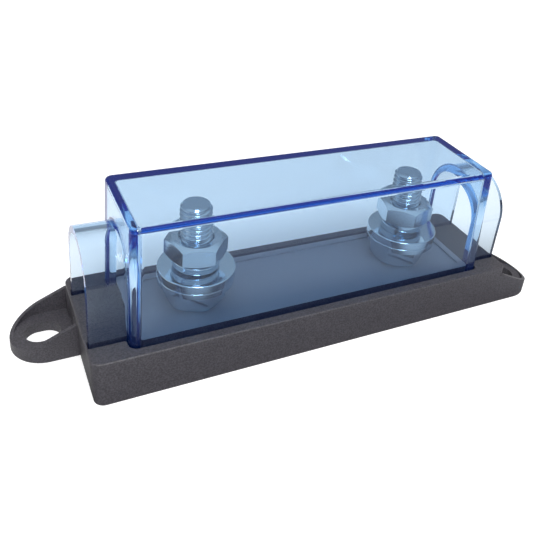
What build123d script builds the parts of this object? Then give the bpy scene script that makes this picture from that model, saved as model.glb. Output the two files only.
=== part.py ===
from build123d import *
import os
from math import atan, cos, degrees, radians, tan

# ANL fuse holder: a moulded base with two threaded studs under a clear lift-off cover.
# Millimetres. X runs along the fuse, Z is up, and the origin is the centre of the
# base's underside.

# Base body
body_length = 120.0
body_width = 35.0
body_height = 12.2
body_end_draft = 3.0
body_corner_radius = 2.5
body_edge_radius = 0.4

# Studs and what is stacked on them
stud_spacing = 62.0
thread_diameter = 8.0
thread_end_chamfer = 0.7
stud_below_cover_top = 4.9
head_across_flats = 13.0
head_height = 5.3
head_recess = 0.9
nut_across_flats = 13.6
seat_nut_height = 6.3
top_nut_height = 5.5
nut_countersink = 0.45
nut_chamfer_angle = 30.0
chamfer_face_share = 0.9
washer_diameter = 19.5
washer_hole = 9.0
washer_edge_radius = 0.25
lower_washer_thickness = 1.5
upper_washer_thickness = 2.2
lower_washer_shift = 0.2
upper_washer_shift = 0.3
lock_washer_diameter = 11.9
lock_washer_hole = 8.18
lock_washer_thickness = 1.9
lock_washer_free_height = 3.1
lock_washer_edge_radius = 0.3
lock_washer_flat = 0.05
lock_washer_sweep = 355.0
lock_washer_gap = 1.0
lock_washer_slant = -15.0

# Turn of each hexagon and of each lock washer's split about its stud, left and right
top_nut_turn = {"left": -12.5, "right": 17.0}
seat_nut_turn = {"left": 35.0, "right": 33.0}
split_turn = {"left": 60.0, "right": -140.0}

# Cover
cover_length = 101.2
cover_width = 29.4
cover_top = 42.9
cover_end_draft = 1.0
cover_side_draft = 2.6
cover_wall = 2.1
cover_corner_radius = 1.8
cover_rim_radius = 1.0
cover_inner_radius = 1.2
cover_inner_rim_radius = 0.45
tunnel_half_width = 11.2
tunnel_below_cover_top = 6.5
tunnel_wall = 1.8
tunnel_reach = 8.6
tunnel_root_radius = 0.6

# Groove that takes the cover's rim, and the raised border inside it
groove_depth = 2.0
border_width = 1.9
border_height = 0.5

# Mounting ears, on opposite corners
ear_width = 16.7
ear_reach = 14.55
ear_wall = 1.0
ear_floor = 2.9
ear_root_height = 9.4
ear_tip_height = 2.6
slot_width = 7.2
slot_length = 8.8
slot_shift = 0.6

# Cored underside
shell_wall = 2.4
rib_thickness = 2.0
core_ceiling = 8.0
core_corner_radius = 1.0
core_columns = 3

# Clearances
thread_clearance = 0.05
hole_clearance = 0.2
head_clearance = 0.2
groove_clearance = 0.3

# Derived heights of the cover's tunnels and of the stack on each stud
tunnel_top = cover_top - tunnel_below_cover_top
stud_top = cover_top - stud_below_cover_top
head_seat = head_recess + head_height
seat_nut_bottom = body_height
lower_washer_bottom = seat_nut_bottom + seat_nut_height
upper_washer_bottom = lower_washer_bottom + lower_washer_thickness
lock_washer_bottom = upper_washer_bottom + upper_washer_thickness
top_nut_bottom = lock_washer_bottom + lock_washer_free_height

groove_floor = body_height - groove_depth
body_foot_lean = body_height * tan(radians(body_end_draft))
bore_diameter = thread_diameter + 2 * thread_clearance
stud_x = {"left": -stud_spacing / 2, "right": stud_spacing / 2}
end_turn = {"left": 180.0, "right": 0.0}
overshoot = 1.0
near = 0.01


def box_between(low, high):
    """A box from its lowest to its highest corner."""
    size = [high[i] - low[i] for i in range(3)]
    return Pos(*low) * Box(*size, align=(Align.MIN, Align.MIN, Align.MIN))


def drafted_block(length, width, bottom, top, radius, end_draft, side_draft):
    """A block sized at its foot, with rounded corners, whose ends and sides lean in by two drafts."""
    end_lean = (top - bottom) * tan(radians(end_draft))
    side_lean = (top - bottom) * tan(radians(side_draft))
    foot = Plane.XY.offset(bottom) * RectangleRounded(length, width, radius)
    crown = Plane.XY.offset(top) * RectangleRounded(length - 2 * end_lean, width - 2 * side_lean, radius)
    return loft([foot, crown], ruled=True)


def arch_section(half_width, top, bottom):
    """A doorway shape in the YZ plane: straight legs under a half circle."""
    spring = top - half_width
    leg = Pos(0, (bottom + spring) / 2) * Rectangle(2 * half_width, spring - bottom)
    upper_half = Pos(0, half_width) * Rectangle(2 * half_width, 2 * half_width)
    return leg + Pos(0, spring) * (Circle(half_width) & upper_half)


def hexagon(across_flats):
    """A hexagon with a corner on the X axis."""
    return RegularPolygon(across_flats / 2, 6, major_radius=False)


def crown_cone(across_flats, height, both_ends):
    """The turned body that bevels a hexagon's corners."""
    corner = across_flats / 2 / cos(radians(30))
    face = across_flats / 2 * chamfer_face_share
    edge = corner + overshoot
    drop = (edge - face) * tan(radians(nut_chamfer_angle))
    outline = [(0, 0), (edge, 0), (edge, height - drop), (face, height), (0, height)]
    if both_ends:
        outline[1:2] = [(face, 0), (edge, drop)]
    return revolve(Plane.XZ * make_face(Polyline(*outline, close=True)), Axis.Z)


def make_nut(bottom, height, turn):
    """A hexagon nut with bevelled corners and a countersunk bore."""
    body = extrude(hexagon(nut_across_flats), height) & crown_cone(nut_across_flats, height, True)
    body -= Cylinder(bore_diameter / 2, 3 * height)
    rim = bore_diameter / 2 + nut_countersink
    sink = Cone(rim, bore_diameter / 2, nut_countersink, align=(Align.CENTER, Align.CENTER, Align.MIN))
    body -= sink
    body -= Pos(0, 0, height) * Rot(180, 0, 0) * sink
    return Pos(0, 0, bottom) * Rot(0, 0, turn) * body


def make_washer(bottom, thickness):
    """A plain round washer with its stamped edge rounded on top."""
    disc = Cylinder(washer_diameter / 2, thickness, align=(Align.CENTER, Align.CENTER, Align.MIN))
    disc -= Cylinder(washer_hole / 2, 3 * thickness)
    disc = fillet(disc.faces().sort_by(Axis.Z)[-1].outer_wire().edges(), washer_edge_radius)
    return Pos(0, 0, bottom) * disc


def make_lock_washer(turn):
    """A spring washer: one left-handed coil, flat where it bears at each end, with a slanted split."""
    mean_radius = (lock_washer_diameter + lock_washer_hole) / 4
    width = (lock_washer_diameter - lock_washer_hole) / 2
    rise = lock_washer_free_height - lock_washer_thickness + 2 * lock_washer_flat
    path = Helix(rise * 360 / lock_washer_sweep, rise, mean_radius, lefthand=True)
    section = Plane.XZ * Pos(mean_radius, 0) * RectangleRounded(
        width, lock_washer_thickness, lock_washer_edge_radius
    )
    coil = Pos(0, 0, lock_washer_thickness / 2 - lock_washer_flat) * sweep(section, path, is_frenet=True)
    disc_align = (Align.CENTER, Align.CENTER, Align.MIN)
    coil &= Cylinder(lock_washer_diameter, lock_washer_free_height, align=disc_align)
    saw_align = (Align.MIN, Align.CENTER, Align.CENTER)
    saw = Box(lock_washer_diameter, lock_washer_gap, 4 * lock_washer_free_height, align=saw_align)
    middle = Pos(0, 0, lock_washer_free_height / 2)
    coil -= Rot(0, 0, (360 - lock_washer_sweep) / 2) * middle * Rot(lock_washer_slant, 0, 0) * saw
    return Pos(0, 0, lock_washer_bottom) * Rot(0, 0, turn) * coil


def make_stud():
    """A bolt set from below: hexagon head, plain shank at the thread's outer size, bevelled end."""
    head = extrude(hexagon(head_across_flats), head_height)
    head &= Pos(0, 0, head_height) * Rot(180, 0, 0) * crown_cone(head_across_flats, head_height, False)
    shank = Cylinder(thread_diameter / 2, stud_top - head_seat, align=(Align.CENTER, Align.CENTER, Align.MIN))
    shank = chamfer(shank.faces().sort_by(Axis.Z)[-1].edges(), thread_end_chamfer)
    return Pos(0, 0, head_recess) * head + Pos(0, 0, head_seat) * shank


def tunnel_hull(wall_inset, end_clearance):
    """The solid arch of one cable tunnel, set in by a wall, on the right end."""
    half_width = tunnel_half_width - wall_inset
    section = arch_section(half_width, tunnel_top - wall_inset, groove_floor)
    length = cover_length / 2 + tunnel_reach + end_clearance
    return extrude(Plane.YZ * section, length)


def make_cover():
    """The clear cover: a box open below, with an arched cable tunnel through each end."""
    drafts = (cover_end_draft, cover_side_draft)
    shell = drafted_block(
        cover_length, cover_width, groove_floor, cover_top, cover_corner_radius, *drafts
    )
    shell = fillet(shell.faces().sort_by(Axis.Z)[-1].edges(), cover_rim_radius)
    for turn in end_turn.values():
        shell += Rot(0, 0, turn) * tunnel_hull(0, 0)
    for end in (-1, 1):
        foot = end * (cover_length / 2 + near)
        lean = end * (cover_length / 2 - (cover_top - groove_floor) * tan(radians(cover_end_draft)))
        roots = shell.edges().filter_by_position(Axis.X, min(foot, lean), max(foot, lean))
        roots = roots.filter_by_position(Axis.Y, -tunnel_half_width - near, tunnel_half_width + near)
        roots = roots.filter_by_position(Axis.Z, groove_floor + near, tunnel_top + near)
        shell = fillet(roots, tunnel_root_radius)
    hollow = drafted_block(
        cover_length - 2 * cover_wall,
        cover_width - 2 * cover_wall,
        groove_floor,
        cover_top - cover_wall,
        cover_inner_radius,
        *drafts,
    )
    hollow = fillet(hollow.faces().sort_by(Axis.Z)[-1].edges(), cover_inner_rim_radius)
    shell -= hollow
    for turn in end_turn.values():
        bore = tunnel_hull(tunnel_wall, overshoot)
        shell -= Rot(0, 0, turn) * (bore + Pos(0, 0, -overshoot) * bore)
    return shell


def groove_plan():
    """Plan of the groove: the outline of the cover's rim, wider by a clearance on each side."""
    gap = groove_clearance
    outer = RectangleRounded(cover_length + 2 * gap, cover_width + 2 * gap, cover_corner_radius + gap)
    inner = RectangleRounded(
        cover_length - 2 * cover_wall - 2 * gap,
        cover_width - 2 * cover_wall - 2 * gap,
        cover_inner_radius,
    )
    plan = outer - inner
    leg_length = tunnel_reach + gap + cover_wall
    leg_width = tunnel_wall + 2 * gap
    leg_y = tunnel_half_width - tunnel_wall / 2
    doorway = 2 * (tunnel_half_width - tunnel_wall - gap)
    for end in (-1, 1):
        plan -= Pos(end * cover_length / 2, 0) * Rectangle(3 * cover_wall, doorway)
        middle = end * (cover_length / 2 + tunnel_reach + gap - leg_length / 2)
        for side in (-1, 1):
            plan += Pos(middle, side * leg_y) * Rectangle(leg_length, leg_width)
    corner = (cover_length / 2 + gap, tunnel_half_width + gap)
    roots = plan.vertices().filter_by(lambda v: abs(abs(v.X) - corner[0]) + abs(abs(v.Y) - corner[1]) < near)
    return fillet(roots, tunnel_root_radius)


def make_ear():
    """One mounting ear on the right end: a walled tongue with a sloping top and a slotted floor."""
    root = body_length / 2
    radius = ear_width / 2
    middle = -(body_width / 2 - radius)
    tip_centre = root + ear_reach - radius
    bury = body_corner_radius + body_foot_lean

    def tongue(inset, start):
        straight = tip_centre - start
        plan = Pos(start + straight / 2, middle) * Rectangle(straight, ear_width - 2 * inset)
        return plan + Pos(tip_centre, middle) * Circle(radius - inset)

    ear = extrude(tongue(0, root - bury), ear_root_height)
    slope = degrees(atan((ear_root_height - ear_tip_height) / ear_reach))
    above = Box(4 * ear_reach, 2 * ear_width, 2 * ear_reach, align=(Align.CENTER, Align.CENTER, Align.MIN))
    above = Pos(root, middle, ear_root_height) * Rot(0, slope, 0) * above
    ear -= above - box_between((root - 4 * ear_reach, -body_width, 0), (root, body_width, 4 * ear_reach))
    ear -= extrude(Plane.XY.offset(ear_floor) * tongue(ear_wall, root), ear_root_height)
    slot = Pos(tip_centre + slot_shift, middle) * SlotOverall(slot_length, slot_width)
    return ear - extrude(slot, 3 * ear_floor, both=True)


def core_pockets():
    """Pockets that hollow the underside between ribs, clear of the stud bosses."""
    boss_half = head_across_flats / 2 / cos(radians(30)) + head_clearance + shell_wall
    width = (body_width - 2 * shell_wall - rib_thickness) / 2
    inner_span = stud_spacing - 2 * boss_half
    inner_length = (inner_span - (core_columns - 1) * rib_thickness) / core_columns
    outer_length = body_length / 2 - body_foot_lean - shell_wall - stud_spacing / 2 - boss_half
    places = []
    for column in range(core_columns):
        centre = -inner_span / 2 + inner_length / 2 + column * (inner_length + rib_thickness)
        places.append((centre, inner_length))
    for end in (-1, 1):
        centre = end * (stud_spacing / 2 + boss_half + outer_length / 2)
        places.append((centre, outer_length))
    pockets = []
    for centre, length in places:
        for side in (-1, 1):
            plan = Pos(centre, side * (width + rib_thickness) / 2)
            plan *= RectangleRounded(length, width, core_corner_radius)
            pockets.append(extrude(plan, core_ceiling))
    return pockets


def make_base():
    """The moulded base: body, cover groove, raised border, stud seats, ears and cored underside."""
    foot_length = body_length - 2 * body_foot_lean
    base = drafted_block(
        foot_length, body_width, 0, body_height, body_corner_radius, -body_end_draft, 0
    )
    base = fillet(base.faces().sort_by(Axis.Z)[-1].edges(), body_edge_radius)
    for turn in end_turn.values():
        base += Rot(0, 0, turn) * make_ear()
    base -= extrude(Plane.XY.offset(groove_floor) * groove_plan(), groove_depth + overshoot)
    inner_length = cover_length - 2 * cover_wall - 2 * groove_clearance
    inner_width = cover_width - 2 * cover_wall - 2 * groove_clearance
    border = RectangleRounded(inner_length, inner_width, cover_inner_radius)
    border -= RectangleRounded(
        inner_length - 2 * border_width, inner_width - 2 * border_width, cover_inner_radius
    )
    base += extrude(Plane.XY.offset(body_height) * border, border_height)
    for pocket in core_pockets():
        base -= pocket
    for x in stud_x.values():
        base -= Pos(x, 0, 0) * Cylinder(thread_diameter / 2 + hole_clearance, 4 * body_height)
        base -= Pos(x, 0, 0) * extrude(hexagon(head_across_flats + 2 * head_clearance), head_seat)
    return base


def make_parts():
    """Every piece of the holder by name, in its place."""
    parts = {"base": make_base(), "cover": make_cover()}
    for side, x in stud_x.items():
        place = Pos(x, 0, 0)
        parts[f"stud_{side}"] = place * make_stud()
        parts[f"seat_nut_{side}"] = place * make_nut(seat_nut_bottom, seat_nut_height, seat_nut_turn[side])
        lower = make_washer(lower_washer_bottom, lower_washer_thickness)
        parts[f"lower_washer_{side}"] = place * Pos(lower_washer_shift, 0, 0) * lower
        upper = make_washer(upper_washer_bottom, upper_washer_thickness)
        parts[f"upper_washer_{side}"] = place * Pos(upper_washer_shift, 0, 0) * upper
        parts[f"lock_washer_{side}"] = place * make_lock_washer(split_turn[side])
        parts[f"top_nut_{side}"] = place * make_nut(top_nut_bottom, top_nut_height, top_nut_turn[side])
    return parts


os.makedirs("parts", exist_ok=True)
for name, shape in make_parts().items():
    export_step(shape, f"parts/{name}.step")
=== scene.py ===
"""Looks of the fuse holder: finishes, cut threads, studio light and the photograph's camera."""
import math

import bmesh
import bpy
from mathutils import Matrix, Vector


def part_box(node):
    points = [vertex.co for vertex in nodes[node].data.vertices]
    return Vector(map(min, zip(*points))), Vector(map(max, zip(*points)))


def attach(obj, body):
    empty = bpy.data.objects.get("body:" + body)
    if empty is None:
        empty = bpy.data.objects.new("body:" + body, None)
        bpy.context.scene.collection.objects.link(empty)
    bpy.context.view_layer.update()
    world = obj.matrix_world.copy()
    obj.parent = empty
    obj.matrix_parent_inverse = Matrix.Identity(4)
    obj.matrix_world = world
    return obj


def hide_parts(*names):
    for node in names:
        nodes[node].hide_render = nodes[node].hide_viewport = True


# Camera of the photograph: its place, the way it looks and its right hand, in the part's frame,
# and its focal length and optical centre in pixels of the square picture
PICTURE_SIDE = 533
CAMERA_PLACE = Vector((-0.07924, -0.13434, 0.12188))
CAMERA_FORWARD = Vector((0.44120, 0.77919, -0.44520))
CAMERA_RIGHT = Vector((0.88962, -0.44498, 0.10283))
FOCAL_PIXELS = 680.0
OPTICAL_CENTRE = (302.54, 167.57)
SENSOR_WIDTH = 36.0
CLIP_START = 0.01

# Light paths long enough for the many walls that a ray meets in the cover's edges
MAX_BOUNCES = 32
GLOSSY_BOUNCES = 24
TRANSMISSION_BOUNCES = 32

# Thread of the studs, metres, and where its flat crest ends and its root starts, counted from the
# crest's middle in shares of half a pitch
THREAD_PITCH = 0.00125
THREAD_CREST_RADIUS = 0.00398
THREAD_ROOT_RADIUS = 0.0033
THREAD_END_CHAMFER = 0.0007
CREST_END = 0.125
ROOT_START = 0.75
THREAD_COLUMNS = 72
THREAD_ROWS_PER_PITCH = 14

# The head that the CAD stud keeps, and how far the threaded shank reaches into it, metres
HEAD_HEIGHT = 0.0053
SHANK_BURY = 0.0002

# Colours, linear
BASE_BLACK = (0.060, 0.057, 0.068, 1)
# The bay's floor: its grey is partly dust and partly a painted bluish sheen
BAY_DUST_AND_PAINTED_SHEEN = (0.23, 0.27, 0.34, 1)
ZINC = (0.55, 0.66, 0.75, 1)
FLOOR_WHITE = (0.90, 0.90, 0.90, 1)
WHITE = (1, 1, 1, 1)

# Roughness of each finish, and the floor's faint gloss
BASE_ROUGHNESS = 0.45
BAY_ROUGHNESS = 0.35
NUT_ROUGHNESS = 0.12
WASHER_ROUGHNESS = 0.10
STUD_ROUGHNESS = 0.14
FLOOR_ROUGHNESS = 0.9
FLOOR_SPECULAR = 0.1

# Fine grain of the plastic and of the plating, metres
PLASTIC_GRAIN = 0.0005
BASE_GRAIN_HEIGHT = 0.00008
BAY_GRAIN_HEIGHT = 0.00002
PLASTIC_GRAIN_STRENGTH = 1.0
METAL_GRAIN = 0.0006
METAL_GRAIN_HEIGHT = 0.00002
METAL_GRAIN_STRENGTH = 0.25
GRAIN_DETAIL = 3

# Lighter and darker specks of the base's outside: their size in metres, how far they stray from the
# colour, and the two noise levels at which they are darkest and lightest
SPECKLE = 0.0004
SPECKLE_CONTRAST = 0.3
SPECKLE_DARKEST = 0.35
SPECKLE_LIGHTEST = 0.65
SPECKLE_DETAIL = 2

# The clear cover: its index of refraction, and how fast it takes up red, green and blue light, per
# metre
COVER_INDEX = 1.49
COVER_ABSORPTION = (142.0, 73.0, 24.0)

# A painted blue glow inside the plastic, standing in for the blue it scatters along its walls, seen
# where a line of sight runs far inside it, and how much of it there is in a metre
COVER_PAINTED_GLOW_BLUE = (0.01, 0.15, 1.0, 1)
COVER_PAINTED_GLOW_STRENGTH = 7.0

# Where the smooth bay inside the cover's groove is: above this height, and within these distances
# of the middle
LEDGE_HEIGHT = 0.0121
BAY_HALF_LENGTH = 0.0485
BAY_HALF_WIDTH = 0.0124

# The world: its level on the object and as the camera sees it, and the two levels that glass and
# metal show, one up to the low direction and one from the high direction on, where 0 is level and 1
# straight up
WORLD_LEVEL = 0.54
SEEN_LEVEL = 1.0
SHOWN_LOW = 0.33
SHOWN_HIGH = 0.85
LOW_DIRECTION = 0.45
HIGH_DIRECTION = 0.8

# The floor, just under the object, and what it adds where the camera sees it and where glass and
# metal show it
FLOOR_SIZE = 8
FLOOR_HEIGHT = -0.0001
FLOOR_GLOW = 0.4
FLOOR_GLOW_SHOWN = 0.30

# The two painted greys that glass and metal show of the white floor in front of the object: a
# painted shade far from it, and a painted shadow in its shade. The shadow fades out at this many
# times its own size. The floor turns from white behind the back edge to the painted grey before the
# front edge
FLOOR_PAINTED_FRONT_SHADE = (0.68, 0.70, 0.72, 1)
FLOOR_PAINTED_SHADOW = (0.05, 0.05, 0.05, 1)
SHADE_HALF_LENGTH = 0.075
SHADE_HALF_WIDTH = 0.035
SHADE_FADE_END = 1.35
FLOOR_FRONT_EDGE = -0.02
FLOOR_BACK_EDGE = 0.03

# The one lamp, above and behind the camera, metres and watts
LAMP_PLACE = Vector((-0.12, -0.44, 0.60))
LAMP_TARGET = Vector((0, 0, 0.02))
LAMP_WIDTH = 0.30
LAMP_POWER = 3.9

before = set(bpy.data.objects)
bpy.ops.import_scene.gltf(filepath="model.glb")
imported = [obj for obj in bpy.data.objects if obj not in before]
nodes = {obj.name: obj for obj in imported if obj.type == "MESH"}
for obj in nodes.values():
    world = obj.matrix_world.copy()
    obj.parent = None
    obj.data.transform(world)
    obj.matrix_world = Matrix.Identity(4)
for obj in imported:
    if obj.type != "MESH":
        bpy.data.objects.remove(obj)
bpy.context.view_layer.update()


def new_material(name):
    """A material with nodes and its Principled shader."""
    material = bpy.data.materials.new(name)
    material.use_nodes = True
    return material, material.node_tree.nodes["Principled BSDF"]


def add_noise(tree, feature, detail):
    """Noise fixed to the object, whose features have this size, in metres."""
    place = tree.nodes.new("ShaderNodeTexCoord")
    noise = tree.nodes.new("ShaderNodeTexNoise")
    noise.inputs["Scale"].default_value = 1 / feature
    noise.inputs["Detail"].default_value = detail
    tree.links.new(place.outputs["Object"], noise.inputs["Vector"])
    return noise.outputs["Fac"]


def add_grain(material, shader, feature, height, strength):
    """Fine moulded or plated grain, as a bump of noise."""
    tree = material.node_tree
    bump = tree.nodes.new("ShaderNodeBump")
    bump.inputs["Distance"].default_value = height
    bump.inputs["Strength"].default_value = strength
    tree.links.new(add_noise(tree, feature, GRAIN_DETAIL), bump.inputs["Height"])
    tree.links.new(bump.outputs["Normal"], shader.inputs["Normal"])


def add_speckle(material, shader, colour):
    """Fine lighter and darker specks about a colour, as a sandblasted mould leaves them."""
    tree = material.node_tree
    ramp = tree.nodes.new("ShaderNodeValToRGB")
    dark, light = ramp.color_ramp.elements
    dark.position = SPECKLE_DARKEST
    light.position = SPECKLE_LIGHTEST
    dark.color = [channel * (1 - SPECKLE_CONTRAST) for channel in colour[:3]] + [1]
    light.color = [channel * (1 + SPECKLE_CONTRAST) for channel in colour[:3]] + [1]
    tree.links.new(add_noise(tree, SPECKLE, SPECKLE_DETAIL), ramp.inputs["Fac"])
    tree.links.new(ramp.outputs["Color"], shader.inputs["Base Color"])


def plastic(name, colour, roughness, grain_height):
    """Moulded plastic with a fine grain, and its shader."""
    material, shader = new_material(name)
    shader.inputs["Base Color"].default_value = colour
    shader.inputs["Roughness"].default_value = roughness
    add_grain(material, shader, PLASTIC_GRAIN, grain_height, PLASTIC_GRAIN_STRENGTH)
    return material, shader


def metal(name, roughness):
    """Bright zinc plate."""
    material, shader = new_material(name)
    shader.inputs["Base Color"].default_value = ZINC
    shader.inputs["Metallic"].default_value = 1
    shader.inputs["Roughness"].default_value = roughness
    add_grain(material, shader, METAL_GRAIN, METAL_GRAIN_HEIGHT, METAL_GRAIN_STRENGTH)
    return material


def clear_blue(name):
    """Clear plastic that turns bluer the further light runs inside it, with a painted blue glow
    inside it.
    """
    material, shader = new_material(name)
    shader.inputs["Base Color"].default_value = WHITE
    shader.inputs["Roughness"].default_value = 0
    shader.inputs["IOR"].default_value = COVER_INDEX
    shader.inputs["Transmission Weight"].default_value = 1
    tree = material.node_tree
    volume = tree.nodes.new("ShaderNodeVolumeAbsorption")
    densest = max(COVER_ABSORPTION)
    volume.inputs["Color"].default_value = [1 - rate / densest for rate in COVER_ABSORPTION] + [1]
    volume.inputs["Density"].default_value = densest
    # A painted blue glow: the cover's inside emits light though it is no lamp
    glow = tree.nodes.new("ShaderNodeEmission")
    glow.inputs["Color"].default_value = COVER_PAINTED_GLOW_BLUE
    glow.inputs["Strength"].default_value = COVER_PAINTED_GLOW_STRENGTH
    both = tree.nodes.new("ShaderNodeAddShader")
    tree.links.new(volume.outputs["Volume"], both.inputs[0])
    tree.links.new(glow.outputs["Emission"], both.inputs[1])
    tree.links.new(both.outputs["Shader"], tree.nodes["Material Output"].inputs["Volume"])
    return material


def dress(node_names, material):
    """Gives CAD nodes one finish."""
    for name in node_names:
        mesh = nodes[name].data
        mesh.materials.clear()
        mesh.materials.append(material)


def dress_base():
    """Black plastic outside, and the smoother floor of the bay inside the groove, greyer with dust
    and a painted bluish sheen.
    """
    outside, shader = plastic("base plastic", BASE_BLACK, BASE_ROUGHNESS, BASE_GRAIN_HEIGHT)
    add_speckle(outside, shader, BASE_BLACK)
    # The bay's colour holds a painted bluish sheen on top of its dusty grey
    inside = plastic("bay plastic", BAY_DUST_AND_PAINTED_SHEEN, BAY_ROUGHNESS, BAY_GRAIN_HEIGHT)[0]
    dress(["base"], outside)
    mesh = nodes["base"].data
    mesh.materials.append(inside)
    for face in mesh.polygons:
        x, y, z = face.center
        if z > LEDGE_HEIGHT and abs(x) < BAY_HALF_LENGTH and abs(y) < BAY_HALF_WIDTH:
            face.material_index = 1


def thread_radius(turns, height, top):
    """Radius of the thread at this many turns along its helix, bevelled at the stud's end."""
    phase = abs((turns % 1) - 0.5) * 2
    flank = min(max((phase - CREST_END) / (ROOT_START - CREST_END), 0), 1)
    radius = THREAD_CREST_RADIUS + (THREAD_ROOT_RADIUS - THREAD_CREST_RADIUS) * flank
    return min(radius, THREAD_CREST_RADIUS - THREAD_END_CHAMFER + (top - height))


def add_thread(mesh, centre, bottom, top):
    """A closed grid wound round the stud's axis, with the helix in its radius."""
    rows = round((top - bottom) / THREAD_PITCH * THREAD_ROWS_PER_PITCH)
    rings = []
    for row in range(rows + 1):
        height = bottom + (top - bottom) * row / rows
        ring = []
        for column in range(THREAD_COLUMNS):
            angle = 2 * math.pi * column / THREAD_COLUMNS
            radius = thread_radius(height / THREAD_PITCH - column / THREAD_COLUMNS, height, top)
            x = centre[0] + radius * math.cos(angle)
            y = centre[1] + radius * math.sin(angle)
            ring.append(mesh.verts.new((x, y, height)))
        rings.append(ring)
    for lower, upper in zip(rings, rings[1:]):
        for column in range(THREAD_COLUMNS):
            after = (column + 1) % THREAD_COLUMNS
            mesh.faces.new((lower[column], lower[after], upper[after], upper[column])).smooth = True
    mesh.faces.new(rings[-1]).smooth = False
    mesh.faces.new(reversed(rings[0])).smooth = False


def make_threaded_stud(name, node):
    """The stud with its helix cut: the CAD stud's own head, with a threaded shank above it."""
    low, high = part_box(node)
    centre = ((low[0] + high[0]) / 2, (low[1] + high[1]) / 2)
    head_top = low[2] + HEAD_HEIGHT
    mesh = bmesh.new()
    mesh.from_mesh(nodes[node].data)
    mesh.transform(nodes[node].matrix_world)
    shank = [face for face in mesh.faces if face.calc_center_median().z > head_top + SHANK_BURY]
    bmesh.ops.delete(mesh, geom=shank, context="FACES")
    for face in mesh.faces:
        face.smooth = False
    add_thread(mesh, centre, head_top - SHANK_BURY, high[2])
    data = bpy.data.meshes.new(name)
    mesh.to_mesh(data)
    mesh.free()
    data.materials.clear()
    stud = bpy.data.objects.new(name, data)
    bpy.context.scene.collection.objects.link(stud)
    return stud


def dress_stacks():
    """Plated nuts and washers, and on each side a threaded stud in place of the plain one."""
    nut_metal = metal("nut plate", NUT_ROUGHNESS)
    washer_metal = metal("washer plate", WASHER_ROUGHNESS)
    stud_metal = metal("stud plate", STUD_ROUGHNESS)
    for side in ("left", "right"):
        dress([f"top_nut_{side}", f"seat_nut_{side}"], nut_metal)
        dress([f"upper_washer_{side}", f"lower_washer_{side}", f"lock_washer_{side}"], washer_metal)
        stud = make_threaded_stud(f"threaded_stud_{side}", f"stud_{side}")
        stud.data.materials.append(stud_metal)
        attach(stud, "holder")
        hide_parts(f"stud_{side}")


def set_by_ray(tree, light, shown, seen, socket):
    """Sets a socket to one level for light on the object, one that glass and metal show, and one
    that the camera sees."""
    rays = tree.nodes.new("ShaderNodeLightPath")
    levels = {"Light": light, "Glossy": shown, "Transmission": shown, "Camera": seen}
    strength = None
    for kind, level in levels.items():
        choice = tree.nodes.new("ShaderNodeMapRange")
        if isinstance(level, bpy.types.NodeSocket):
            tree.links.new(level, choice.inputs["To Max"])
        else:
            choice.inputs["To Max"].default_value = level
        if kind == "Light":
            choice.inputs["Value"].default_value = 1
        else:
            tree.links.new(rays.outputs[f"Is {kind} Ray"], choice.inputs["Value"])
            tree.links.new(strength, choice.inputs["To Min"])
        strength = choice.outputs["Result"]
    tree.links.new(strength, socket)


def map_level(tree, value, start, end, start_level, end_level):
    """A level that runs from one number to another as a value runs from start to end."""
    run = tree.nodes.new("ShaderNodeMapRange")
    run.inputs["From Min"].default_value = start
    run.inputs["From Max"].default_value = end
    run.inputs["To Min"].default_value = start_level
    run.inputs["To Max"].default_value = end_level
    tree.links.new(value, run.inputs["Value"])
    return run.outputs["Result"]


def level_along(tree, place, axis, start, end, start_level, end_level):
    """A level that runs from one number to another along an axis."""
    split = tree.nodes.new("ShaderNodeSeparateXYZ")
    tree.links.new(place, split.inputs["Vector"])
    return map_level(tree, split.outputs[axis], start, end, start_level, end_level)


def painted_shadow_fade(tree, place):
    """A level of 1 in the painted shadow close round the object that falls to 0 outside it."""
    scale = tree.nodes.new("ShaderNodeMapping")
    scale.inputs["Scale"].default_value = (1 / SHADE_HALF_LENGTH, 1 / SHADE_HALF_WIDTH, 0)
    distance = tree.nodes.new("ShaderNodeVectorMath")
    distance.operation = "LENGTH"
    tree.links.new(place, scale.inputs["Vector"])
    tree.links.new(scale.outputs["Vector"], distance.inputs[0])
    return map_level(tree, distance.outputs["Value"], 1, SHADE_FADE_END, 1, 0)


def mix_colours(tree, first, second):
    """A mix of two colours, and the socket that takes how much of the second it holds."""
    mix = tree.nodes.new("ShaderNodeMix")
    mix.data_type = "RGBA"
    sockets = [socket for socket in mix.inputs if socket.type == "RGBA"]
    for socket, colour in zip(sockets, (first, second)):
        if isinstance(colour, bpy.types.NodeSocket):
            tree.links.new(colour, socket)
        else:
            socket.default_value = colour
    made = [socket for socket in mix.outputs if socket.type == "RGBA"][0]
    return made, mix.inputs["Factor"]


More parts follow.
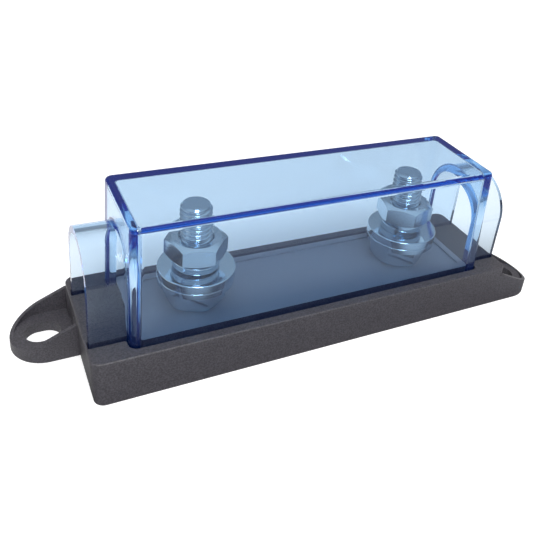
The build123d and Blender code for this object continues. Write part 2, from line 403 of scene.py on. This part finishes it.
def make_floor():
    """The white floor, which glass and metal show with a painted shade and a painted shadow in
    front of the object.
    """
    bpy.ops.mesh.primitive_plane_add(size=FLOOR_SIZE, location=(0, 0, FLOOR_HEIGHT))
    floor = bpy.context.object
    floor.name = "floor"
    finish, shader = new_material("floor")
    shader.inputs["Roughness"].default_value = FLOOR_ROUGHNESS
    shader.inputs["Specular IOR Level"].default_value = FLOOR_SPECULAR
    shader.inputs["Emission Color"].default_value = WHITE
    tree = finish.node_tree
    place = tree.nodes.new("ShaderNodeTexCoord").outputs["Object"]
    edges = (FLOOR_FRONT_EDGE, FLOOR_BACK_EDGE)
    glow_shown = level_along(tree, place, "Y", *edges, 0, FLOOR_GLOW_SHOWN)
    set_by_ray(tree, 0, glow_shown, FLOOR_GLOW, shader.inputs["Emission Strength"])
    # Painted shade and a painted shadow in the floor's colour, which only glass and metal see
    in_front = level_along(tree, place, "Y", *edges, 1, 0)
    painted_front_shade, painted_shadow_factor = mix_colours(tree, FLOOR_PAINTED_FRONT_SHADE, FLOOR_PAINTED_SHADOW)
    tree.links.new(painted_shadow_fade(tree, place), painted_shadow_factor)
    grey, front_factor = mix_colours(tree, FLOOR_WHITE, painted_front_shade)
    set_by_ray(tree, 0, in_front, 0, front_factor)
    tree.links.new(grey, shader.inputs["Base Color"])
    floor.data.materials.append(finish)


def make_world():
    """A white world that glass and metal show darker, most of all low round the object."""
    world = bpy.data.worlds.new("studio")
    bpy.context.scene.world = world
    world.use_nodes = True
    tree = world.node_tree
    backdrop = tree.nodes["Background"]
    backdrop.inputs["Color"].default_value = WHITE
    direction = tree.nodes.new("ShaderNodeTexCoord").outputs["Generated"]
    shown = level_along(tree, direction, "Z", LOW_DIRECTION, HIGH_DIRECTION, SHOWN_LOW, SHOWN_HIGH)
    set_by_ray(tree, WORLD_LEVEL, shown, SEEN_LEVEL, backdrop.inputs["Strength"])


def add_lamp():
    """A round soft lamp."""
    lamp = bpy.data.lights.new("key", "AREA")
    lamp.shape = "DISK"
    lamp.size = LAMP_WIDTH
    lamp.energy = LAMP_POWER
    made = bpy.data.objects.new("key", lamp)
    made.location = LAMP_PLACE
    made.rotation_mode = "QUATERNION"
    made.rotation_quaternion = (LAMP_TARGET - LAMP_PLACE).to_track_quat("-Z", "Y")
    bpy.context.scene.collection.objects.link(made)


def add_camera():
    """The photograph's camera, with the shift that its framing needs."""
    camera = bpy.data.objects.new("camera", bpy.data.cameras.new("camera"))
    bpy.context.scene.collection.objects.link(camera)
    up = CAMERA_RIGHT.cross(CAMERA_FORWARD).normalized()
    turn = Matrix((CAMERA_RIGHT.normalized(), up, -CAMERA_FORWARD.normalized())).transposed()
    camera.matrix_world = Matrix.Translation(CAMERA_PLACE) @ turn.to_4x4()
    camera.data.sensor_width = SENSOR_WIDTH
    camera.data.lens = FOCAL_PIXELS * SENSOR_WIDTH / PICTURE_SIDE
    camera.data.shift_x = 0.5 - OPTICAL_CENTRE[0] / PICTURE_SIDE
    camera.data.shift_y = OPTICAL_CENTRE[1] / PICTURE_SIDE - 0.5
    camera.data.clip_start = CLIP_START
    bpy.context.scene.camera = camera


dress_base()
dress(["cover"], clear_blue("cover plastic"))
dress_stacks()
make_floor()
make_world()
add_lamp()
add_camera()
bpy.context.scene.cycles.max_bounces = MAX_BOUNCES
bpy.context.scene.cycles.glossy_bounces = GLOSSY_BOUNCES
bpy.context.scene.cycles.transmission_bounces = TRANSMISSION_BOUNCES
bpy.context.scene.view_settings.view_transform = "Standard"
